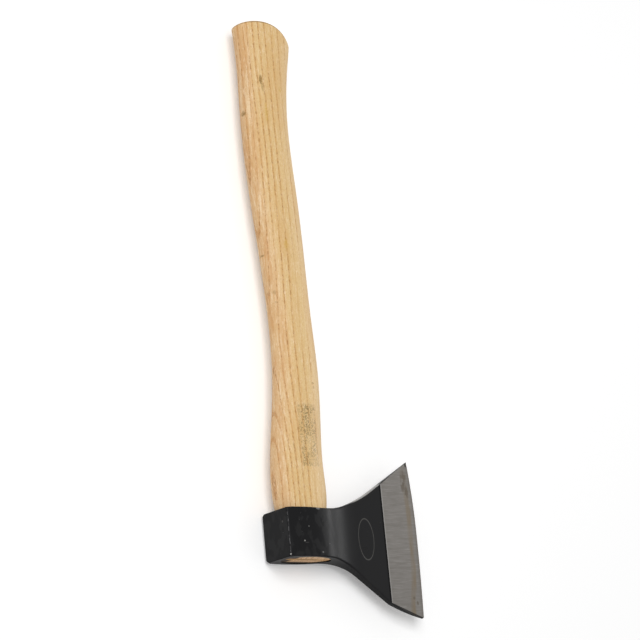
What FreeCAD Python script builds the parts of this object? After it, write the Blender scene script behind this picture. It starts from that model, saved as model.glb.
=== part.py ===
import FreeCAD, Part
import Sketcher
import math
import os

# A hatchet with a wide, flared bit on a curved wooden handle, lying flat on its side.
# Every piece is drawn in one frame: x runs from the poll face to the cutting edge, y runs
# up the handle from the middle of the eye block, and z is the thickness, with the mid-plane
# at zero. One placement then sets the hatchet down with its origin under its middle.

DOC = FreeCAD.newDocument("hatchet")

# Driving dimensions, in millimetres
SIZES = [
    ("head_length", 154.0, "poll face to the furthest point of the cutting edge"),
    ("poll_width", 37.0, "across the poll face"),
    ("barrel_place", 20.0, "poll face to the widest place of the cheeks"),
    ("barrel_radius", 75.0, "rounding of the cheeks round the eye"),
    ("blade_place", 86.0, "poll face to where the hollow neck ends in the flat blade"),
    ("bevel_place", 115.6, "poll face to the start of the ground bevel"),
    ("bit_thickness", 6.6, "blade thickness where the bevel starts"),
    ("edge_thickness", 0.3, "land left at the cutting edge"),
    ("block_height", 42.0, "eye block, along the handle"),
    ("top_flat", 32.0, "level top of the block, from the poll face"),
    ("toe_setback", 4.0, "toe behind the furthest point of the edge"),
    ("toe_rise", 70.0, "toe above the middle of the block"),
    ("edge_apex_rise", 8.0, "furthest point of the edge above the middle of the block"),
    ("heel_setback", 1.8, "heel behind the furthest point of the edge"),
    ("heel_drop", 70.0, "heel below the middle of the block"),
    ("heel_tip_radius", 1.8, "rounding of the heel, seen from the side"),
    ("knee_radius", 8.0, "rounding between the beard and the lower end of the bevel"),
    ("beard_flat", 47.6, "level underside of the block, from the poll face"),
    ("beard_radius", 58.0, "rounding from the underside into the beard"),
    ("head_rounding", 1.2, "rounding of the outline edges of the head"),
    ("poll_rounding", 2.0, "rounding of the upright corners of the poll"),
    ("poll_corner_trim", 2.6, "taken off the four corners of the poll face, towards its middle"),
    ("poll_corner_run", 5.0, "how far those cuts run along the block"),
    ("poll_wall", 6.0, "steel between the poll face and the eye"),
    ("eye_length", 48.0, "eye, poll end to bit end"),
    ("cheek_wall", 4.4, "steel beside the eye, where the cheeks are widest"),
    ("tenon_clearance", 0.35, "gap between the tenon and the eye"),
    ("shoulder_clearance", 0.2, "gap between the shoulder of the handle and the mouth of the eye"),
    ("tenon_recess", 0.8, "end grain below the face of the block"),
    ("shoulder_overhang", 1.3, "shoulder of the handle over the poll, behind the eye"),
    ("handle_reach", 449.0, "top of the head to the crown of the butt"),
    ("handle_depth", 48.0, "handle, back to front"),
    ("handle_thickness", 30.0, "handle across its sides"),
    ("butt_radius", 57.0, "dome of the butt, seen from the side"),
    ("butt_crown_shift", 10.6, "crown of the butt behind the middle of the eye"),
    ("butt_rounding", 2.0, "rounding of the rim of the butt"),
    ("kerf_depth", 31.0, "saw cut in the tenon"),
    ("kerf_mouth", 4.6, "width of the opened saw cut at the end grain"),
    ("kerf_root", 1.6, "width of the saw cut at its root"),
    ("wedge_clearance", 0.1, "gap beside each wedge"),
    ("wedge_end_gap", 0.75, "gap between the ends of the wooden wedge and the eye"),
    ("wedge_depth", 27.0, "wooden wedge into the tenon"),
    ("steel_wedge_length", 20.0, "steel wedge along the eye"),
    ("steel_wedge_depth", 16.0, "steel wedge into the wooden wedge"),
    ("steel_wedge_mouth", 1.8, "steel wedge thickness at its head"),
    ("steel_wedge_root", 0.5, "steel wedge thickness at its tip"),
    ("overrun", 5.0, "how far cuts run past the material"),
]

# Handle sections above the shoulder: height as a share of the reach, back and front as shares
# of the depth either side of the middle of the eye, half thickness, back rounding and front
# rounding as shares of the thickness. The last one lies past the crown and is cut off.
SECTION_SHARES = [
    (0.087, 0.566, 0.503, 0.517, 0.417, 0.317),
    (0.176, 0.460, 0.540, 0.507, 0.350, 0.317),
    (0.276, 0.356, 0.583, 0.493, 0.300, 0.317),
    (0.377, 0.344, 0.548, 0.483, 0.300, 0.317),
    (0.511, 0.417, 0.519, 0.483, 0.317, 0.317),
    (0.644, 0.515, 0.479, 0.493, 0.367, 0.317),
    (0.789, 0.560, 0.425, 0.500, 0.400, 0.317),
    (0.912, 0.546, 0.535, 0.527, 0.400, 0.333),
    (1.035, 0.627, 0.622, 0.550, 0.400, 0.333),
]

# Most that the outline's rounding may take of half the blade's thickness at the edge, and of
# the rounding of the heel
NOSE_SHARE = 0.8
TIP_SHARE = 0.7

# Half width of the dome's cutting plate as a share of the dome's radius
DOME_SHARE = 0.9

# Where the hollow under the toe ends, as a share of the way from the level top to the toe
TOE_HOLLOW_SHARE = 0.6123

# How much thicker the blade gets towards the neck, as a share of the length of its flat
BLADE_TAPER_SHARE = 0.09

# The outline from the lower end of the bevel line to the heel: its fall and the radius of its
# bow, as shares of the length of the bevel
HEEL_FALL_SHARE = 0.328
HEEL_BOW_SHARE = 4.7

# Roundings of the eye at the poll end and at the bit end, as shares of half its width
EYE_BACK_SHARE = 0.907
EYE_FRONT_SHARE = 0.433

# Tolerance for finding edges by their place
CLOSE = 0.05

# Two end roundings of an oval closer in ratio than this count as equal
ALIKE = 1e-6


def make_sheet():
    sheet = DOC.addObject("Spreadsheet::Sheet", "Dimensions")
    for row, (alias, value, meaning) in enumerate(SIZES, start=1):
        sheet.set(f"A{row}", alias)
        sheet.set(f"B{row}", str(value))
        sheet.set(f"C{row}", meaning)
        sheet.setAlias(f"B{row}", alias)
    DOC.recompute()
    return sheet


SHEET = make_sheet()


def size(alias):
    return float(getattr(SHEET, alias))


def cell(alias):
    return f"Dimensions.{alias}"


HALF_BARREL = (f"({cell('poll_width')} / 2 - {cell('poll_rounding')} + {cell('barrel_radius')}"
               f" - sqrt(({cell('barrel_radius')} - {cell('poll_rounding')})^2"
               f" - ({cell('barrel_place')} - {cell('poll_rounding')})^2))")
EYE_HALF = f"({HALF_BARREL} - {cell('cheek_wall')})"
BLADE_ROOT = (f"({cell('bit_thickness')} / 2"
              f" + {BLADE_TAPER_SHARE} / 2 * ({cell('bevel_place')} - {cell('blade_place')}))")
NOSE = (f"({cell('bit_thickness')} / 2"
        f" - {BLADE_TAPER_SHARE} / 2 * ({cell('head_length')} - {cell('bevel_place')}))")
KNEE_DROP = (f"({cell('heel_drop')}"
             f" - {HEEL_FALL_SHARE} * ({cell('head_length')} - {cell('bevel_place')}))")
TALLEST = f"max({cell('toe_rise')}; {cell('heel_drop')})"
BLOCK_TOP = f"({cell('block_height')} / 2)"
EYE_MIDDLE = f"({cell('poll_wall')} + {cell('eye_length')} / 2)"
TENON_END = f"({cell('block_height')} / 2 - {cell('tenon_recess')})"
CROWN = f"({cell('block_height')} / 2 + {cell('handle_reach')})"
LAST_SHARE = SECTION_SHARES[-1][0]
LAST_SECTION = f"({cell('block_height')} / 2 + {LAST_SHARE} * {cell('handle_reach')})"


def named(alias):
    return size(alias), cell(alias)


def make_body(label):
    body = DOC.addObject("PartDesign::Body", label)
    body.Label = label
    body.setExpression("Placement.Base.x", f"-{cell('head_length')} / 2")
    body.setExpression("Placement.Base.y", f"({cell('heel_drop')} - {CROWN}) / 2")
    body.setExpression("Placement.Base.z", HALF_BARREL)
    return body


def plane(body, role):
    return next(item for item in body.Origin.OriginFeatures if item.Role == role)


def make_sketch(body, name, role, height=None):
    sketch = body.newObject("Sketcher::SketchObject", name)
    sketch.AttachmentSupport = [(plane(body, role), "")]
    sketch.MapMode = "FlatFace"
    if height:
        # the plane's own normal points down the handle
        sketch.setExpression("AttachmentOffset.Base.z", f"-({height})")
    return sketch


def point(x, y):
    return FreeCAD.Vector(x, y, 0)


def line(sketch, start, end):
    return sketch.addGeometry(Part.LineSegment(point(*start), point(*end)), False)


def arc(sketch, centre, radius, start_angle, end_angle):
    circle = Part.Circle(point(*centre), FreeCAD.Vector(0, 0, 1), radius)
    return sketch.addGeometry(Part.ArcOfCircle(circle, start_angle, end_angle), False)


def join(sketch, kind, first, first_end, second, second_end):
    sketch.addConstraint(Sketcher.Constraint(kind, first, first_end, second, second_end))


def bind(sketch, kind, where, value, expression):
    number = sketch.addConstraint(Sketcher.Constraint(kind, *where, value))
    sketch.setExpression(f"Constraints[{number}]", expression)


def place_point(sketch, item, end, x=None, y=None):
    """Hold a point from the sketch origin: x and y are pairs of a value and an expression.

    The sign of the value says on which side of the axis the point lies."""
    for kind, pair in (("DistanceX", x), ("DistanceY", y)):
        if pair is None:
            continue
        value, expression = pair
        if value < 0:
            bind(sketch, kind, (item, end, -1, 1), -value, expression)
        else:
            bind(sketch, kind, (-1, 1, item, end), value, expression)


# An oval of four arcs, blunt at the back and narrower at the front, like an eye or a handle
def cheek_circle(back_centre, front_centre, half, back_radius, front_radius):
    back_gap = half - back_radius
    front_gap = half - front_radius
    ratio = front_gap / back_gap
    span = front_centre - back_centre
    constant = span ** 2 - front_gap ** 2 + ratio * back_gap ** 2
    if abs(ratio - 1) < ALIKE:
        along = constant / (2 * span)
    else:
        along = (math.sqrt(span ** 2 + (ratio - 1) * constant) - span) / (ratio - 1)
    below = (along ** 2 - back_gap ** 2) / (2 * back_gap)
    return back_centre + along, below


def draw_oval(sketch, back, front, half, back_radius, front_radius):
    """Each argument is a pair of a value and an expression."""
    back_centre = back[0] + back_radius[0]
    front_centre = front[0] - front_radius[0]
    middle, below = cheek_circle(
        back_centre, front_centre, half[0], back_radius[0], front_radius[0])
    radius = half[0] + below
    back_angle = math.atan2(below, back_centre - middle)
    front_angle = math.atan2(below, front_centre - middle)
    nose = arc(sketch, (front_centre, 0), front_radius[0], -front_angle, front_angle)
    upper = arc(sketch, (middle, -below), radius, front_angle, back_angle)
    tail = arc(sketch, (back_centre, 0), back_radius[0], back_angle, 2 * math.pi - back_angle)
    lower = arc(sketch, (middle, below), radius, -back_angle, -front_angle)
    join(sketch, "Tangent", nose, 2, upper, 1)
    join(sketch, "Tangent", upper, 2, tail, 1)
    join(sketch, "Tangent", tail, 2, lower, 1)
    join(sketch, "Tangent", lower, 2, nose, 1)
    sketch.addConstraint(Sketcher.Constraint("PointOnObject", nose, 3, -1))
    sketch.addConstraint(Sketcher.Constraint("PointOnObject", tail, 3, -1))
    sketch.addConstraint(Sketcher.Constraint("Equal", upper, lower))
    bind(sketch, "Radius", (tail,), back_radius[0], back_radius[1])
    bind(sketch, "Radius", (nose,), front_radius[0], front_radius[1])
    place_point(sketch, tail, 3, x=(back_centre, f"{back[1]} + {back_radius[1]}"))
    place_point(sketch, nose, 3, x=(front_centre, f"{front[1]} - {front_radius[1]}"))
    # a construction line that rests on the upper cheek sets the thickness
    rest_line = Part.LineSegment(point(back_centre, half[0]), point(front_centre, half[0]))
    rest = sketch.addGeometry(rest_line, True)
    sketch.addConstraint(Sketcher.Constraint("Horizontal", rest))
    sketch.addConstraint(Sketcher.Constraint("Tangent", rest, upper))
    sketch.addConstraint(Sketcher.Constraint("Vertical", rest, 1, tail, 3))
    sketch.addConstraint(Sketcher.Constraint("Vertical", rest, 2, nose, 3))
    place_point(sketch, rest, 1, y=half)


def half_eye():
    corner = size("poll_rounding")
    rise = size("barrel_radius") - math.sqrt(
        (size("barrel_radius") - corner) ** 2 - (size("barrel_place") - corner) ** 2)
    return size("poll_width") / 2 - corner + rise - size("cheek_wall")


def eye_pairs(clearance=None, overhang=None):
    """The five pairs of the eye's oval, drawn in by a clearance.

    An overhang carries its back end out over the poll."""
    gap = size(clearance) if clearance else 0
    gap_text = f" - {cell(clearance)}" if clearance else ""
    inner_text = f" + {cell(clearance)}" if clearance else ""
    back = size("poll_wall") + gap
    back_text = f"{cell('poll_wall')}{inner_text}"
    if overhang:
        back = size("poll_wall") - size(overhang)
        back_text = f"{cell('poll_wall')} - {cell(overhang)}"
    front = size("poll_wall") + size("eye_length") - gap
    front_text = f"{cell('poll_wall')} + {cell('eye_length')}{gap_text}"
    return [
        (back, f"({back_text})"),
        (front, f"({front_text})"),
        (half_eye() - gap, f"({EYE_HALF}{gap_text})"),
        (EYE_BACK_SHARE * half_eye() - gap, f"({EYE_BACK_SHARE} * {EYE_HALF}{gap_text})"),
        (EYE_FRONT_SHARE * half_eye() - gap, f"({EYE_FRONT_SHARE} * {EYE_HALF}{gap_text})"),
    ]


def through_all(feature):
    feature.Type = "ThroughAll"
    feature.Midplane = True


def edges_where(shape, test):
    return [f"Edge{number}" for number, edge in enumerate(shape.Edges, start=1) if test(edge)]


# Head: half of the plan, drawn along the handle, from the poll face to the edge
def draw_plan(sketch):
    radius = size("barrel_radius")
    barrel = size("barrel_place")
    corner = size("poll_rounding")
    corner_y = size("poll_width") / 2 - corner
    centre_y = corner_y - math.sqrt((radius - corner) ** 2 - (barrel - corner) ** 2)
    bevel = (size("bevel_place"), size("bit_thickness") / 2)
    # the hollow touches the cheek and ends on the flat of the blade
    blade_slope = -math.atan(BLADE_TAPER_SHARE / 2)
    blade = (size("blade_place"),
             bevel[1] + (size("blade_place") - bevel[0]) * math.tan(blade_slope))
    ahead = blade[0] - barrel
    above = blade[1] - centre_y
    hollow = ((ahead ** 2 + above ** 2 - radius ** 2)
              / (2 * (radius + ahead * math.sin(blade_slope) - above * math.cos(blade_slope))))
    hollow_centre = (blade[0] - hollow * math.sin(blade_slope),
                     blade[1] + hollow * math.cos(blade_slope))
    neck_slope = -math.atan2(hollow_centre[0] - barrel, hollow_centre[1] - centre_y)
    length = size("head_length")
    end = (length, bevel[1] + (length - bevel[0]) * math.tan(blade_slope))

    back = line(sketch, (0, 0), (0, corner_y))
    corner_angle = math.atan2(corner_y - centre_y, corner - barrel)
    corner_arc = arc(sketch, (corner, corner_y), corner, corner_angle, math.pi)
    cheek = arc(sketch, (barrel, centre_y), radius, math.pi / 2 + neck_slope, corner_angle)
    neck_arc = arc(
        sketch, hollow_centre, hollow, neck_slope - math.pi / 2, blade_slope - math.pi / 2)
    flat = line(sketch, blade, end)
    nose = line(sketch, end, (length, 0))
    middle = line(sketch, (length, 0), (0, 0))
    join(sketch, "Coincident", back, 1, -1, 1)
    join(sketch, "Tangent", back, 2, corner_arc, 2)
    join(sketch, "Tangent", corner_arc, 1, cheek, 2)
    join(sketch, "Tangent", cheek, 1, neck_arc, 1)
    join(sketch, "Tangent", neck_arc, 2, flat, 1)
    join(sketch, "Coincident", flat, 2, nose, 1)
    join(sketch, "Coincident", nose, 2, middle, 1)
    join(sketch, "Coincident", middle, 2, back, 1)
    sketch.addConstraint(Sketcher.Constraint("Vertical", back))
    sketch.addConstraint(Sketcher.Constraint("Vertical", nose))
    sketch.addConstraint(Sketcher.Constraint("Horizontal", middle))
    place_point(sketch, back, 2,
                y=(corner_y, f"{cell('poll_width')} / 2 - {cell('poll_rounding')}"))
    bind(sketch, "Radius", (corner_arc,), corner, cell("poll_rounding"))
    place_point(sketch, cheek, 3, x=(barrel, cell("barrel_place")))
    bind(sketch, "Radius", (cheek,), radius, cell("barrel_radius"))
    place_point(sketch, flat, 1, x=(blade[0], cell("blade_place")), y=(blade[1], BLADE_ROOT))
    place_point(sketch, flat, 2, x=(length, cell("head_length")), y=(end[1], NOSE))


def draw_bevel(sketch):
    """What is ground off one side of the blade, from the bevel line past the cutting edge."""
    over = size("overrun")
    start = (size("bevel_place"), size("bit_thickness") / 2)
    edge = (size("head_length"), size("edge_thickness") / 2)
    far = (edge[0] + over, start[1] + over)
    corners = [start, edge, (far[0], edge[1]), far, (start[0], far[1])]
    sides = [line(sketch, corners[i], corners[(i + 1) % 5]) for i in range(5)]
    for number in range(5):
        join(sketch, "Coincident", sides[number], 2, sides[(number + 1) % 5], 1)
    for number, kind in ((1, "Horizontal"), (2, "Vertical"), (3, "Horizontal"), (4, "Vertical")):
        sketch.addConstraint(Sketcher.Constraint(kind, sides[number]))
    place_point(sketch, sides[0], 1, x=(start[0], cell("bevel_place")),
                y=(start[1], f"{cell('bit_thickness')} / 2"))
    place_point(sketch, sides[0], 2, x=(edge[0], cell("head_length")),
                y=(edge[1], f"{cell('edge_thickness')} / 2"))
    place_point(sketch, sides[3], 1, x=(far[0], f"{cell('head_length')} + {cell('overrun')}"),
                y=(far[1], f"{cell('bit_thickness')} / 2 + {cell('overrun')}"))


# Head: the side outline, with a frame round it that is cut away
def leaving_slope(run, rise, radius):
    """Slope of the line to a target that leaves an arc which starts level.

    The run and the rise are measured from the start of the arc to the target."""
    past = rise - radius
    return math.asin(radius / math.hypot(run, past)) + math.atan2(past, run)


def bow_middle(start, end_centre, radius, end_radius):
    """Centre of an arc bulging down, from a point to where it touches a small arc inside it."""
    run = end_centre[0] - start[0]
    rise = end_centre[1] - start[1]
    chord = math.hypot(run, rise)
    along = (radius ** 2 - (radius - end_radius) ** 2 + chord ** 2) / (2 * chord)
    across = math.sqrt(radius ** 2 - along ** 2)
    return (start[0] + (run * along - rise * across) / chord,
            start[1] + (rise * along + run * across) / chord)


def draw_side(sketch):
    half_block = size("block_height") / 2
    length = size("head_length")
    toe = (length - size("toe_setback"), size("toe_rise"))
    tip = size("heel_tip_radius")
    tip_centre = (length - size("heel_setback") - tip, tip - size("heel_drop"))
    apex = (length, size("edge_apex_rise"))
    bevel_length = length - size("bevel_place")
    knee = (size("bevel_place"), HEEL_FALL_SHARE * bevel_length - size("heel_drop"))
    over = size("overrun")

    top_flat = size("top_flat")
    toe_run = toe[0] - top_flat
    toe_slope = math.atan2(toe[1] - half_block, toe_run * (1 - TOE_HOLLOW_SHARE / 2))
    sweep = TOE_HOLLOW_SHARE * toe_run / math.sin(toe_slope)
    toe_root = (top_flat + TOE_HOLLOW_SHARE * toe_run,
                half_block + sweep * (1 - math.cos(toe_slope)))
    beard = size("beard_radius")
    beard_flat = size("beard_flat")
    knee_slope = leaving_slope(knee[0] - beard_flat, -knee[1] - half_block, beard)
    knee_root = (beard_flat + beard * math.sin(knee_slope),
                 -half_block - beard * (1 - math.cos(knee_slope)))

    poll = line(sketch, (0, -half_block), (0, half_block))
    top = line(sketch, (0, half_block), (top_flat, half_block))
    toe_arc = arc(
        sketch, (top_flat, half_block + sweep), sweep, -math.pi / 2, toe_slope - math.pi / 2)
    toe_line = line(sketch, toe_root, toe)
    toe_back = apex[0] - toe[0]
    toe_height = toe[1] - apex[1]
    upper_radius = (toe_back ** 2 + toe_height ** 2) / (2 * toe_back)
    upper_angle = math.asin(toe_height / upper_radius)
    upper_edge = arc(sketch, (apex[0] - upper_radius, apex[1]), upper_radius, 0, upper_angle)
    # the lower edge and the bow both run smoothly into the round heel
    heel_run = apex[0] - tip_centre[0]
    heel_height = apex[1] - tip_centre[1]
    lower_radius = (heel_run ** 2 + heel_height ** 2 - tip ** 2) / (2 * (heel_run - tip))
    lower_angle = math.atan2(heel_height, lower_radius - heel_run)
    lower_edge = arc(sketch, (apex[0] - lower_radius, apex[1]), lower_radius, -lower_angle, 0)
    bow = HEEL_BOW_SHARE * bevel_length
    bow_centre = bow_middle(knee, tip_centre, bow, tip)
    knee_angle = math.atan2(knee[1] - bow_centre[1], knee[0] - bow_centre[0])
    # the knee is rounded between the slope of the beard and the start of the bow
    bend = size("knee_radius")
    turn = math.tan((knee_angle + math.pi / 2 + knee_slope) / 2) * bend
    knee_start = (knee[0] - turn * math.cos(knee_slope), knee[1] + turn * math.sin(knee_slope))
    knee_end = (knee[0] - turn * math.sin(knee_angle), knee[1] + turn * math.cos(knee_angle))
    bend_centre = (knee_start[0] + bend * math.sin(knee_slope),
                   knee_start[1] + bend * math.cos(knee_slope))
    heel_angle = math.atan2(tip_centre[1] - bow_centre[1], tip_centre[0] - bow_centre[0])
    bow_start = math.atan2(knee_end[1] - bow_centre[1], knee_end[0] - bow_centre[0])
    heel_bow = arc(sketch, bow_centre, bow, bow_start, heel_angle)
    heel_tip = arc(sketch, tip_centre, tip, heel_angle, -lower_angle)
    knee_arc = arc(sketch, bend_centre, bend, -math.pi / 2 - knee_slope, knee_angle)
    knee_line = line(sketch, knee_start, knee_root)
    beard_arc = arc(
        sketch, (beard_flat, -half_block - beard), beard, math.pi / 2 - knee_slope, math.pi / 2)
    under = line(sketch, (beard_flat, -half_block), (0, -half_block))

    join(sketch, "Coincident", poll, 2, top, 1)
    join(sketch, "Tangent", top, 2, toe_arc, 1)
    join(sketch, "Tangent", toe_arc, 2, toe_line, 1)
    join(sketch, "Coincident", toe_line, 2, upper_edge, 2)
    join(sketch, "Coincident", upper_edge, 1, lower_edge, 2)
    join(sketch, "Tangent", lower_edge, 1, heel_tip, 2)
    join(sketch, "Tangent", heel_tip, 1, heel_bow, 2)
    join(sketch, "Tangent", heel_bow, 1, knee_arc, 2)
    join(sketch, "Tangent", knee_arc, 1, knee_line, 1)
    join(sketch, "Tangent", knee_line, 2, beard_arc, 1)
    join(sketch, "Tangent", beard_arc, 2, under, 1)
    join(sketch, "Coincident", under, 2, poll, 1)
    sketch.addConstraint(Sketcher.Constraint("PointOnObject", poll, 2, -2))
    sketch.addConstraint(Sketcher.Constraint("Vertical", poll))
    sketch.addConstraint(Sketcher.Constraint("Horizontal", top))
    sketch.addConstraint(Sketcher.Constraint("Horizontal", under))
    sketch.addConstraint(Sketcher.Constraint("Horizontal", upper_edge, 3, upper_edge, 1))
    sketch.addConstraint(Sketcher.Constraint("Horizontal", lower_edge, 3, lower_edge, 2))
    half_text = f"{cell('block_height')} / 2"
    place_point(sketch, poll, 1, y=(-half_block, half_text))
    place_point(sketch, poll, 2, y=(half_block, half_text))
    place_point(sketch, top, 2, x=(top_flat, cell("top_flat")))
    toe_text = f"({cell('head_length')} - {cell('toe_setback')})"
    place_point(sketch, toe_line, 1, x=(toe_root[0],
                f"{cell('top_flat')} + {TOE_HOLLOW_SHARE} * ({toe_text} - {cell('top_flat')})"))
    place_point(sketch, toe_line, 2, x=(toe[0], toe_text), y=(toe[1], cell("toe_rise")))
    place_point(sketch, upper_edge, 1, x=(apex[0], cell("head_length")),
                y=(apex[1], cell("edge_apex_rise")))
    bind(sketch, "Radius", (heel_tip,), tip, cell("heel_tip_radius"))
    behind = f"{cell('heel_setback')} + {cell('heel_tip_radius')}"
    place_point(sketch, heel_tip, 3, x=(tip_centre[0], f"{cell('head_length')} - ({behind})"),
                y=(tip_centre[1], f"{cell('heel_drop')} - {cell('heel_tip_radius')}"))
    bind(sketch, "Radius", (heel_bow,), bow,
         f"{HEEL_BOW_SHARE} * ({cell('head_length')} - {cell('bevel_place')})")
    bind(sketch, "Radius", (knee_arc,), bend, cell("knee_radius"))
    # the corner that the knee rounds lies on the beard's slope and on the bow
    corner = sketch.addGeometry(Part.Point(point(*knee)), True)
    sketch.addConstraint(Sketcher.Constraint("PointOnObject", corner, 1, knee_line))
    sketch.addConstraint(Sketcher.Constraint("PointOnObject", corner, 1, heel_bow))
    place_point(sketch, corner, 1, x=(knee[0], cell("bevel_place")),
                y=(knee[1], KNEE_DROP))
    bind(sketch, "Radius", (beard_arc,), beard, cell("beard_radius"))
    place_point(sketch, under, 1, x=(beard_flat, cell("beard_flat")))

    reach = max(size("toe_rise"), size("heel_drop")) + 2 * over
    low = (-over, -reach)
    high = (length + over, reach)
    corners = [low, (high[0], low[1]), high, (low[0], high[1])]
    sides = [line(sketch, corners[i], corners[(i + 1) % 4]) for i in range(4)]
    for number in range(4):
        join(sketch, "Coincident", sides[number], 2, sides[(number + 1) % 4], 1)
        kind = "Horizontal" if number % 2 == 0 else "Vertical"
        sketch.addConstraint(Sketcher.Constraint(kind, sides[number]))
    reach_text = f"{TALLEST} + 2 * {cell('overrun')}"
    place_point(sketch, sides[0], 1, x=(low[0], cell("overrun")), y=(low[1], reach_text))
    place_point(sketch, sides[2], 1, x=(high[0], f"{cell('head_length')} + {cell('overrun')}"),
                y=(high[1], reach_text))


def draw_corner_cut(sketch):
    """Half the section of a cone about the middle of the block: it crosses the corners of the poll
    at the run, and lies inside them by the trim at the poll face."""
    corner = math.hypot(size("block_height"), size("poll_width")) / 2
    corner_text = f"sqrt({cell('block_height')}^2 + {cell('poll_width')}^2) / 2"
    trim = size("poll_corner_trim")
    run = size("poll_corner_run")
    over = size("overrun")
    corners = [(-over, corner - trim), (0, corner - trim), (2 * run, corner + trim),
               (-over, corner + trim)]
    sides = [line(sketch, corners[i], corners[(i + 1) % 4]) for i in range(4)]
    for number in range(4):
        join(sketch, "Coincident", sides[number], 2, sides[(number + 1) % 4], 1)
    for number, kind in ((0, "Horizontal"), (2, "Horizontal"), (3, "Vertical")):
        sketch.addConstraint(Sketcher.Constraint(kind, sides[number]))
    sketch.addConstraint(Sketcher.Constraint("PointOnObject", sides[1], 1, -2))
    place_point(sketch, sides[0], 1, x=(-over, cell("overrun")),
                y=(corner - trim, f"{corner_text} - {cell('poll_corner_trim')}"))
    place_point(sketch, sides[1], 2, x=(2 * run, f"2 * {cell('poll_corner_run')}"),
                y=(corner + trim, f"{corner_text} + {cell('poll_corner_trim')}"))


def make_head():
    body = make_body("axe_head")
    plan = make_sketch(body, "plan_half", "XZ_Plane")
    draw_plan(plan)
    pad = body.newObject("PartDesign::Pad", "half_blank")
    pad.Profile = plan
    pad.Midplane = True
    pad.setExpression("Length", f"2 * ({TALLEST} + {cell('overrun')})")
    DOC.recompute()
    side = make_sketch(body, "side_outline", "XY_Plane")
    draw_side(side)
    trim = body.newObject("PartDesign::Pocket", "side_trim")
    trim.Profile = side
    through_all(trim)
    DOC.recompute()
    eye_sketch = make_sketch(body, "eye_outline", "XZ_Plane")
    draw_oval(eye_sketch, *eye_pairs())
    eye = body.newObject("PartDesign::Pocket", "eye")
    eye.Profile = eye_sketch
    through_all(eye)
    DOC.recompute()

    # one seed for each outline: the rounding follows its smooth run from the poll to the toe or heel
    half_block = size("block_height") / 2

    def is_seed(edge):
        box = edge.BoundBox
        level = abs(abs(box.YMax) - half_block) < CLOSE and box.YLength < CLOSE
        return level and box.XMax < CLOSE

    outline = body.newObject("PartDesign::Fillet", "outline_rounding")
    outline.Base = (eye, edges_where(eye.Shape, is_seed))
    outline.setExpression("Radius", f"min({cell('head_rounding')}; {NOSE_SHARE} * {NOSE};"
                                    f" {TIP_SHARE} * {cell('heel_tip_radius')})")
    DOC.recompute()

    corner_sketch = make_sketch(body, "corner_outline", "XY_Plane")
    draw_corner_cut(corner_sketch)
    corners = body.newObject("PartDesign::Groove", "poll_corners")
    corners.Profile = corner_sketch
    corners.ReferenceAxis = (corner_sketch, ["H_Axis"])
    DOC.recompute()

    bevel_sketch = make_sketch(body, "bevel_outline", "XZ_Plane")
    draw_bevel(bevel_sketch)
    bevel = body.newObject("PartDesign::Pocket", "bevel")
    bevel.Profile = bevel_sketch
    through_all(bevel)
    DOC.recompute()

    whole = body.newObject("PartDesign::Mirrored", "whole_head")
    whole.TransformMode = "Whole shape"
    whole.MirrorPlane = (plane(body, "XY_Plane"), [""])
    body.Tip = whole
    DOC.recompute()
    return body


# Handle: a loft up from the shoulder, a tenon down into the eye
def section_pairs(shares):
    back, front, half, back_round, front_round = shares
    middle = size("poll_wall") + size("eye_length") / 2
    depth = size("handle_depth")
    thickness = size("handle_thickness")
    return [
        (middle - back * depth, f"({EYE_MIDDLE} - {back} * {cell('handle_depth')})"),
        (middle + front * depth, f"({EYE_MIDDLE} + {front} * {cell('handle_depth')})"),
        (half * thickness, f"({half} * {cell('handle_thickness')})"),
        (back_round * thickness, f"({back_round} * {cell('handle_thickness')})"),
        (front_round * thickness, f"({front_round} * {cell('handle_thickness')})"),
    ]


def draw_butt_cut(sketch):
    """Everything past the domed end: a plate whose lower side is the dome."""
    centre_x = size("poll_wall") + size("eye_length") / 2 - size("butt_crown_shift")
    radius = size("butt_radius")
    centre_y = size("block_height") / 2 + size("handle_reach") - radius
    reach = DOME_SHARE * radius
    rim_y = centre_y + math.sqrt(radius ** 2 - reach ** 2)
    top = size("block_height") / 2 + LAST_SHARE * size("handle_reach") + size("overrun")
    angle = math.acos(DOME_SHARE)
    dome = arc(sketch, (centre_x, centre_y), radius, angle, math.pi - angle)
    left = line(sketch, (centre_x - reach, rim_y), (centre_x - reach, top))
    over = line(sketch, (centre_x - reach, top), (centre_x + reach, top))
    right = line(sketch, (centre_x + reach, top), (centre_x + reach, rim_y))
    join(sketch, "Coincident", dome, 2, left, 1)
    join(sketch, "Coincident", left, 2, over, 1)
    join(sketch, "Coincident", over, 2, right, 1)
    join(sketch, "Coincident", right, 2, dome, 1)
    sketch.addConstraint(Sketcher.Constraint("Vertical", left))
    sketch.addConstraint(Sketcher.Constraint("Horizontal", over))
    sketch.addConstraint(Sketcher.Constraint("Vertical", right))
    centre_text = f"{EYE_MIDDLE} - {cell('butt_crown_shift')}"
    place_point(sketch, dome, 3, x=(centre_x, centre_text),
                y=(centre_y, f"{CROWN} - {cell('butt_radius')}"))
    bind(sketch, "Radius", (dome,), radius, cell("butt_radius"))
    bind(sketch, "DistanceX", (dome, 3, dome, 1), reach, f"{DOME_SHARE} * {cell('butt_radius')}")
    bind(sketch, "DistanceX", (dome, 2, dome, 3), reach, f"{DOME_SHARE} * {cell('butt_radius')}")
    place_point(sketch, left, 2, y=(top, f"{LAST_SECTION} + {cell('overrun')}"))


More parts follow.
